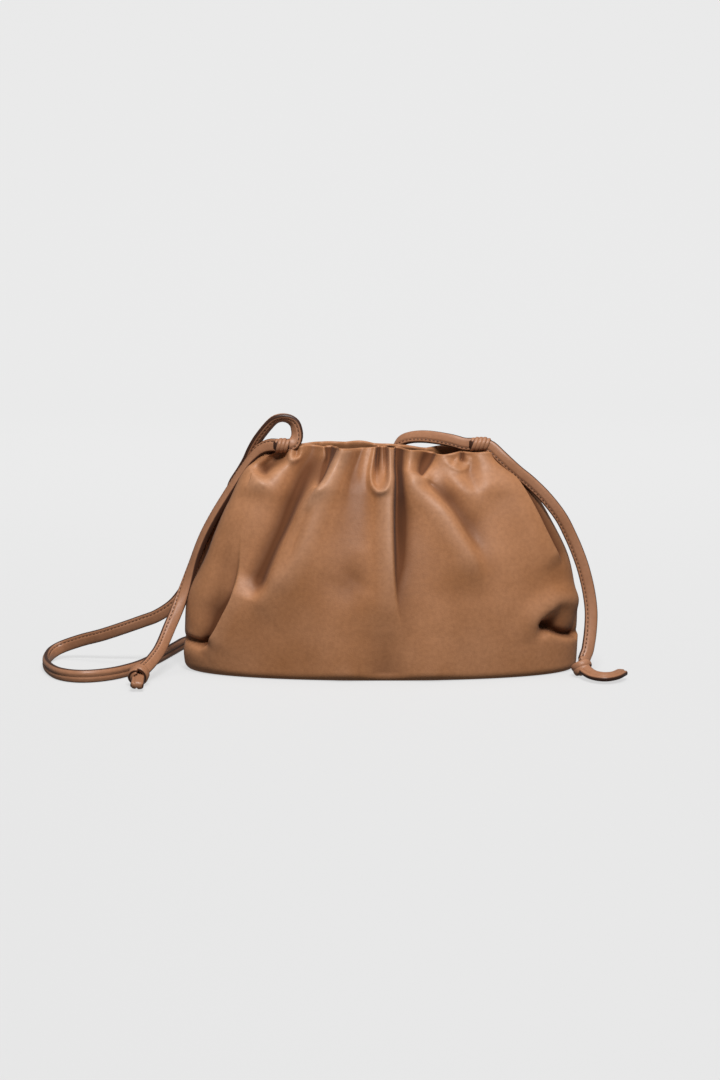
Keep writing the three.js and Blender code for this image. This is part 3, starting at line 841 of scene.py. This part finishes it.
front_turns = -1 + 2 * np.arange(FRONT_COLUMNS) / FRONT_COLUMNS
back_turns = 1 + 2 * np.arange(BACK_COLUMNS) / BACK_COLUMNS
turns = np.concatenate([front_turns, back_turns])
curve_share = BASE_RADIUS / BODY_HEIGHT
base_heights = curve_share * (1 - np.cos(np.arange(8) / 8 * math.pi / 2))
wall_heights = curve_share + (1 - curve_share) * (np.arange(WALL_ROWS + 1) / WALL_ROWS) ** 0.95
heights = np.concatenate([base_heights, wall_heights])
turn_grid, height_grid = np.meshgrid(turns, heights)
base_skin = smooth_skin(turn_grid, height_grid)
base_normal = skin_normal(turn_grid, height_grid)
base_skin[..., 1] *= 1 - 0.4 * ease((height_grid - 0.8) / 0.2)
base_normal[..., 2] *= 1 - ease((height_grid - 0.78) / 0.2)
base_normal = unit(base_normal)
rise = relief(base_skin, height_grid)
outer = base_skin + base_normal * rise[..., None]
outer[0, :, 2] = 0
outer[..., 2] -= front_drop(base_skin[..., 0], base_skin[..., 1], height_grid)
columns, rows = len(turns), len(heights)

rim = outer[-1]
rim_normal = base_normal[-1]
rim[:, 2] += sum(depth * MM * np.sin(turns * waves + start) for depth, waves, start in RIM_WAVES)
hem = []
for angle in np.linspace(0, math.pi, 8)[1:]:
    out = HEM_RADIUS * (math.cos(angle) - 1)
    hem.append(rim + rim_normal * out + np.array([0, 0, HEM_RADIUS * math.sin(angle)]))
inner_rows = np.linspace(rows - 2, 9, 16).astype(int)
row_gap = int(np.diff(inner_rows[::-1]).max()) + 1
deepest_near = rise.copy()
for shift in range(1, row_gap + 1):
    deepest_near[shift:] = np.minimum(deepest_near[shift:], rise[:-shift])
    deepest_near[:-shift] = np.minimum(deepest_near[:-shift], rise[shift:])
inner = [outer[rows - 2] - base_normal[rows - 2] * 2 * HEM_RADIUS]
for row in inner_rows[1:]:
    inner.append(base_skin[row] + base_normal[row] * (deepest_near[row] - WALL)[:, None])
    inner[-1][:, 2] -= front_drop(base_skin[row, :, 0], base_skin[row, :, 1], height_grid[row])
floor = inner[-1].copy()
floor[:, :2] *= (1 - FLOOR_INSET / np.linalg.norm(floor[:, :2], axis=1))[:, None]
floor[:, 2] = WALL
stack = [outer.reshape(-1, 3)] + hem + inner + [floor, floor * np.array([0.5, 0.5, 1])]
points = np.vstack(stack)
rings = len(points) // columns
half_base = outer[0] * np.array([0.5, 0.5, 1])
faces = ring_faces(rings, columns)
floor_centre = len(points)
base_ring = floor_centre + 1
points = np.vstack([points, [[0, 0, WALL]], half_base, [[0, 0, 0]]])
base_centre = len(points) - 1
last = (rings - 1) * columns
for i in range(columns):
    after = (i + 1) % columns
    faces.append((last + i, last + after, floor_centre))
    faces.append((i, base_ring + i, base_ring + after, after))
    faces.append((base_ring + i, base_centre, base_ring + after))
pouch = make_object("leather_pouch", points, faces)
columns_near = round(FRONT_COLUMNS * CREST_REACH / BODY_WIDTH)
rows_near = round(WALL_ROWS * CREST_REACH / BODY_HEIGHT)
print("relief from", round(rise.min() / MM, 1), "to", round(rise.max() / MM, 1), "mm")
# Painted shade and painted highlight: this mark is low in the valleys and beside the overlapping folds, where
# the leather's colour is darkened as painted shade, and high on the crests, where it is lightened as a
# painted highlight.
lying = rise - blurred(blurred(rise, 1, columns_near), 0, rows_near)
painted_shade_and_highlight = np.full(len(points), 0.5)
shade = overlap_shade(base_skin[..., 0], base_skin[..., 2]) * (base_skin[..., 1] < 1 * MM)
painted_shade_and_highlight[: rows * columns] = np.clip((lying / (10 * MM) + 0.5 - 0.55 * shade).reshape(-1), 0, 1)
shade_and_highlight_attribute = pouch.data.attributes.new("painted_shade_and_highlight", "FLOAT", "POINT")
shade_and_highlight_attribute.data.foreach_set("value", painted_shade_and_highlight.astype(np.float32))
print("pouch", len(points), "points,", sum(len(face) - 2 for face in faces), "triangles")

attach(pouch, "root")
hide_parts("pouch_body")

# %% [markdown]
# ## Finishes as node groups
#
# Both leathers share a fine grain and slow changes of colour where the dye took unevenly, and the thread
# shares the second. Each effect is a group, built once, with its own inputs. The groups put out only masks
# and values, and the shader itself stays in each material.

# %% Node group helpers


def new_group(name, inputs, outputs):
    group = bpy.data.node_groups.new(name, "ShaderNodeTree")
    for title, default in inputs:
        socket = group.interface.new_socket(title, in_out="INPUT", socket_type="NodeSocketFloat")
        socket.default_value = default
    for title in outputs:
        group.interface.new_socket(title, in_out="OUTPUT", socket_type="NodeSocketFloat")
    return group, group.nodes.new("NodeGroupInput"), group.nodes.new("NodeGroupOutput")


def feed(tree, socket, value):
    """Gives a socket a number, a colour or another node's output."""
    if isinstance(value, (int, float)):
        socket.default_value = value
    elif isinstance(value, tuple):
        socket.default_value = (*value, 1)
    else:
        tree.links.new(value, socket)


def add_node(tree, kind, inputs, **settings):
    """A new node with its settings made first and then its inputs fed."""
    node = tree.nodes.new(kind)
    for title, setting in settings.items():
        setattr(node, title, setting)
    for title, value in inputs.items():
        feed(tree, node.inputs[title], value)
    return node


def map_range(tree, value, start, end, low=0.0, high=1.0, **settings):
    """The value, with the range from start to end laid on the range from low to high."""
    ends = {"Value": value, "From Min": start, "From Max": end, "To Min": low, "To Max": high}
    return add_node(tree, "ShaderNodeMapRange", ends, **settings).outputs["Result"]


def calculate(tree, operation, first, second):
    return add_node(tree, "ShaderNodeMath", {0: first, 1: second}, operation=operation).outputs[0]


def object_place(tree):
    return tree.nodes.new("ShaderNodeTexCoord").outputs["Object"]


def fine_grain_group():
    group, given, result = new_group("fine_grain", [("Cell size", 0.9), ("Creases", 0.4)], ["Height"])
    place = object_place(group)
    scale = calculate(group, "DIVIDE", 1000, given.outputs["Cell size"])
    cell_inputs = {"Vector": place, "Scale": scale, "Smoothness": 0.6}
    cells = add_node(group, "ShaderNodeTexVoronoi", cell_inputs, feature="SMOOTH_F1")
    wrinkles = add_node(
        group, "ShaderNodeTexNoise", {"Vector": place, "Scale": 260, "Detail": 5, "Distortion": 0.6}
    )
    creases = calculate(group, "MULTIPLY", wrinkles.outputs["Fac"], given.outputs["Creases"])
    height = calculate(group, "ADD", cells.outputs["Distance"], creases)
    feed(group, result.inputs["Height"], height)
    return group


def dye_group():
    group, given, result = new_group("uneven_dye", [("Patch size", 40.0)], ["Patches", "Specks"])
    place = object_place(group)
    scale = calculate(group, "DIVIDE", 1000, given.outputs["Patch size"])
    patches = add_node(group, "ShaderNodeTexNoise", {"Vector": place, "Scale": scale, "Detail": 3})
    specks = add_node(group, "ShaderNodeTexNoise", {"Vector": place, "Scale": 420, "Detail": 4})
    feed(group, result.inputs["Patches"], map_range(group, patches.outputs["Fac"], 0.3, 0.7))
    feed(group, result.inputs["Specks"], specks.outputs["Fac"])
    return group


fine_grain = fine_grain_group()
uneven_dye = dye_group()
print("node groups", [group.name for group in (fine_grain, uneven_dye)])

# %% [markdown]
# ## Leather
#
# Nappa is smooth, dyed through and lightly waxed, so it has a broad soft sheen and only a very fine grain.
# A plain colour with some gloss would look like plastic. The dye patches and the fine bump make it read as
# leather.
# The valleys are darkened as painted shade and the crests lightened as a painted highlight.

# %% Leather materials


def place_group(tree, group, **values):
    node = tree.nodes.new("ShaderNodeGroup")
    node.node_tree = group
    for title, value in values.items():
        node.inputs[title.replace("_", " ")].default_value = value
    return node


def mix_colours(tree, factor, first, second):
    """The first colour where the factor is 0 and the second where it is 1."""
    colours = {"Factor": factor, 6: first, 7: second}
    return add_node(tree, "ShaderNodeMix", colours, data_type="RGBA").outputs[2]


def mark_of(tree, name):
    return add_node(tree, "ShaderNodeAttribute", {}, attribute_name=name).outputs["Fac"]


# The colour of the painted highlight on the crests of the pouch.
PAINTED_HIGHLIGHT_COLOUR = (0.5, 0.27, 0.16)
GRAIN_STRENGTH = 0.35


def leather(name, shade_and_speck_colour, mid, light, grain_size, roughness, shade_and_highlight_name=None, painted_edge=None):
    """Dyed leather. A shade mark paints shade into valleys and a highlight onto crests; an edge mark takes
    the edge's paint.
    """
    material = bpy.data.materials.new(name)
    material.use_nodes = True
    tree = material.node_tree
    shader = tree.nodes["Principled BSDF"]
    dye = place_group(tree, uneven_dye, Patch_size=42.0)
    grain = place_group(tree, fine_grain, Cell_size=grain_size, Creases=0.55)
    specks = dye.outputs["Specks"]
    colour = mix_colours(tree, dye.outputs["Patches"], mid, light)
    rough = map_range(tree, specks, 0, 1, roughness - 0.05, roughness + 0.07)
    # Painted shade in the valleys and beside overlapping folds, and a painted highlight on the crests; the
    # valleys are also made rougher.
    if shade_and_highlight_name:
        shade_and_highlight_mark = mark_of(tree, shade_and_highlight_name)
        out_of_painted_shade = map_range(tree, shade_and_highlight_mark, 0.06, 0.5)
        colour = mix_colours(tree, out_of_painted_shade, shade_and_speck_colour, colour)
        colour = mix_colours(tree, map_range(tree, shade_and_highlight_mark, 0.6, 1.0, 0.0, 0.6), colour, PAINTED_HIGHLIGHT_COLOUR)
        rough = calculate(tree, "ADD", rough, map_range(tree, out_of_painted_shade, 0.1, 0.5, 0.4, 0.0))
    colour = mix_colours(tree, map_range(tree, specks, 0.35, 0.75, 0.0, 0.22), colour, shade_and_speck_colour)
    if painted_edge:
        colour = mix_colours(tree, map_range(tree, mark_of(tree, "edge"), 0.84, 0.95), colour, painted_edge)
    feed(tree, shader.inputs["Base Color"], colour)
    feed(tree, shader.inputs["Roughness"], rough)
    shader.inputs["Specular IOR Level"].default_value = 0.36
    shader.inputs["Sheen Weight"].default_value = 0.03
    shader.inputs["Sheen Roughness"].default_value = 0.5
    bumps = add_node(
        tree, "ShaderNodeBump",
        {"Strength": GRAIN_STRENGTH, "Distance": 0.12 * MM, "Height": grain.outputs["Height"]},
    )
    feed(tree, shader.inputs["Normal"], bumps.outputs["Normal"])
    return material


# The first colour is the painted shade of the valleys and also the tone that the dark specks lean to.
nappa = leather(
    "caramel_nappa", (0.13, 0.043, 0.013), (0.37, 0.155, 0.06), (0.47, 0.215, 0.1), 0.8, 0.5, "painted_shade_and_highlight"
)
strip_leather = leather(
    "cord_nappa", (0.16, 0.062, 0.026), (0.34, 0.15, 0.072), (0.42, 0.2, 0.11), 0.7, 0.42,
    painted_edge=(0.05, 0.018, 0.009),
)
pouch.data.materials.append(nappa)
for obj in (*cord_pieces.values(), left_tie, right_tie, left_knot, right_knot):
    obj.data.materials.append(strip_leather)
print("materials", nappa.name, strip_leather.name)

# %% [markdown]
# ## Stitches
#
# A row of small stitches runs along one edge of the folded strip. They repeat along a path, which is what
# Geometry Nodes do well: a line along the groove is cut into even steps, and a short thread is set on each
# step, turned along the line. The tree ends in real geometry with its material, so it can be exported.

# %% Stitch tree
thread = bpy.data.materials.new("waxed_thread")
thread.use_nodes = True
thread_tree = thread.node_tree
thread_shader = thread_tree.nodes["Principled BSDF"]
thread_dye = place_group(thread_tree, uneven_dye, Patch_size=3.0)
thread_colour = mix_colours(thread_tree, thread_dye.outputs["Specks"], (0.1, 0.04, 0.018), (0.2, 0.085, 0.04))
feed(thread_tree, thread_shader.inputs["Base Color"], thread_colour)
thread_shader.inputs["Roughness"].default_value = 0.6


def stitch_tree():
    tree = bpy.data.node_groups.new("stitch_row", "GeometryNodeTree")
    tree.interface.new_socket("Geometry", in_out="INPUT", socket_type="NodeSocketGeometry")
    for title, default in (("Spacing", 0.003), ("Length", 0.002), ("Thickness", 0.0005)):
        socket = tree.interface.new_socket(title, in_out="INPUT", socket_type="NodeSocketFloat")
        socket.default_value = default
    tree.interface.new_socket("Thread", in_out="INPUT", socket_type="NodeSocketMaterial")
    tree.interface.new_socket("Geometry", in_out="OUTPUT", socket_type="NodeSocketGeometry")
    given = add_node(tree, "NodeGroupInput", {}).outputs
    curve = add_node(tree, "GeometryNodeMeshToCurve", {"Mesh": given["Geometry"]}).outputs["Curve"]
    step_inputs = {"Curve": curve, "Length": given["Spacing"]}
    steps = add_node(tree, "GeometryNodeResampleCurve", step_inputs, mode="LENGTH")
    tangent = add_node(tree, "GeometryNodeInputTangent", {}).outputs["Tangent"]
    turn = add_node(tree, "FunctionNodeAlignRotationToVector", {"Vector": tangent}, axis="Z")
    bead = add_node(tree, "GeometryNodeMeshUVSphere", {"Segments": 6, "Rings": 5, "Radius": 0.5})
    thickness = given["Thickness"]
    size = add_node(tree, "ShaderNodeCombineXYZ", {"X": thickness, "Y": thickness, "Z": given["Length"]})
    threads = add_node(tree, "GeometryNodeInstanceOnPoints", {
        "Points": steps.outputs["Curve"],
        "Instance": bead.outputs["Mesh"],
        "Rotation": turn.outputs["Rotation"],
        "Scale": size.outputs["Vector"],
    })
    real = add_node(tree, "GeometryNodeRealizeInstances", {"Geometry": threads.outputs["Instances"]})
    finish_inputs = {"Geometry": real.outputs["Geometry"], "Material": given["Thread"]}
    finish = add_node(tree, "GeometryNodeSetMaterial", finish_inputs)
    result = add_node(tree, "NodeGroupOutput", {})
    feed(tree, result.inputs["Geometry"], finish.outputs["Geometry"])
    return tree


stitch_row = stitch_tree()
inputs = {item.name: item.identifier for item in stitch_row.interface.items_tree if item.in_out == "INPUT"}
print("stitch inputs", inputs)

# %% Sew the cord
STITCH_SPACING, STITCH_LENGTH, STITCH_THICKNESS = 2.6 * MM, 1.7 * MM, 0.85 * MM
STITCH_SINK = 0.62 * MM


def sew(name, line, frames):
    """A row of stitches along the groove of one strip, as a plain mesh."""
    _, facing, side = frames
    row = line + side * (STRIP_WIDTH / 2 - STITCH_INSET) + facing * (STRIP_THICKNESS / 2 - STITCH_SINK)
    mesh = bpy.data.meshes.new(name)
    mesh.from_pydata([tuple(p) for p in row], [(i, i + 1) for i in range(len(row) - 1)], [])
    guide = add_object(name + "_guide", mesh)
    modifier = guide.modifiers.new("stitches", "NODES")
    modifier.node_group = stitch_row
    modifier[inputs["Spacing"]] = STITCH_SPACING
    modifier[inputs["Length"]] = STITCH_LENGTH
    modifier[inputs["Thickness"]] = STITCH_THICKNESS
    modifier[inputs["Thread"]] = thread
    seen = guide.evaluated_get(bpy.context.evaluated_depsgraph_get())
    plain = bpy.data.meshes.new_from_object(seen)
    guide.modifiers.clear()
    bpy.data.objects.remove(guide)
    sewn = add_object(name, plain)
    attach(sewn, "root")
    print(name, len(plain.polygons), "faces")
    return sewn


stitches = {
    name: sew(name + "_stitches", line, cord_frames[name]) for name, (line, _) in cord_lines.items()
}

# %% The cord's three lengths
print("the cord is in three lengths")

# %% [markdown]
# ## The studio
#
# The photograph has a seamless white sweep and one large soft light above the camera. The sweep is a wide
# sheet that curves up behind the bag. It glows by itself, a little more towards the back, as an over-lit
# sweep does, so that only a faint contact shadow is left on it.

# %% Sweep and lights
SWEEP_BEND, SWEEP_RADIUS = 1.4, 0.8
sweep_rows = [(-3.0, 0.0), (-1.0, 0.0), (0.6, 0.0), (SWEEP_BEND, 0.0)]
for angle in np.linspace(0, math.pi / 2, 13)[1:]:
    sweep_rows.append((SWEEP_BEND + SWEEP_RADIUS * math.sin(angle), SWEEP_RADIUS * (1 - math.cos(angle))))
sweep_rows += [(2.2, 1.8), (2.2, 3.0)]
sheet_points = [(x, y, z) for y, z in sweep_rows for x in (-3.0, 3.0)]
sheet_faces = [(2 * i, 2 * i + 1, 2 * i + 3, 2 * i + 2) for i in range(len(sweep_rows) - 1)]
backdrop = make_object("paper_sweep", sheet_points, sheet_faces)
paper = bpy.data.materials.new("white_paper")
paper.use_nodes = True
paper_shader = paper.node_tree.nodes["Principled BSDF"]
paper_shader.inputs["Base Color"].default_value = (0.15, 0.15, 0.15, 1)
paper_shader.inputs["Roughness"].default_value = 0.9
paper_shader.inputs["Specular IOR Level"].default_value = 0.1
paper_shader.inputs["Emission Color"].default_value = (1, 1, 1, 1)
paper_parts = add_node(paper.node_tree, "ShaderNodeSeparateXYZ", {"Vector": object_place(paper.node_tree)})
glow = map_range(
    paper.node_tree, paper_parts.outputs["Y"], -1.0, 1.4, 0.56, 0.748, interpolation_type="SMOOTHSTEP"
)
feed(paper.node_tree, paper_shader.inputs["Emission Strength"], glow)
backdrop.data.materials.append(paper)
backdrop.visible_diffuse = False
backdrop.visible_glossy = False

world = bpy.data.worlds.new("studio")
bpy.context.scene.world = world
world.use_nodes = True
background = world.node_tree.nodes["Background"]
background.inputs["Color"].default_value = (1, 1, 1, 1)
background.inputs["Strength"].default_value = 0.15


LIGHT_AIM = Vector((0, 0, 0.08))


def softbox(name, place, size, power):
    data = bpy.data.lights.new(name, "AREA")
    data.shape = "RECTANGLE"
    data.size, data.size_y = size
    data.energy = power
    lamp = add_object(name, data)
    lamp.location = place
    lamp.rotation_euler = (LIGHT_AIM - Vector(place)).to_track_quat("-Z", "Y").to_euler()


softbox("key_softbox", (0.12, -1.2, 1.58), (0.6, 0.45), 37.5)
softbox("top_softbox", (0.0, 0.1, 1.8), (1.2, 0.9), 10)
bpy.context.scene.view_settings.view_transform = "Standard"
bpy.context.scene.view_settings.look = "None"
print("studio ready")
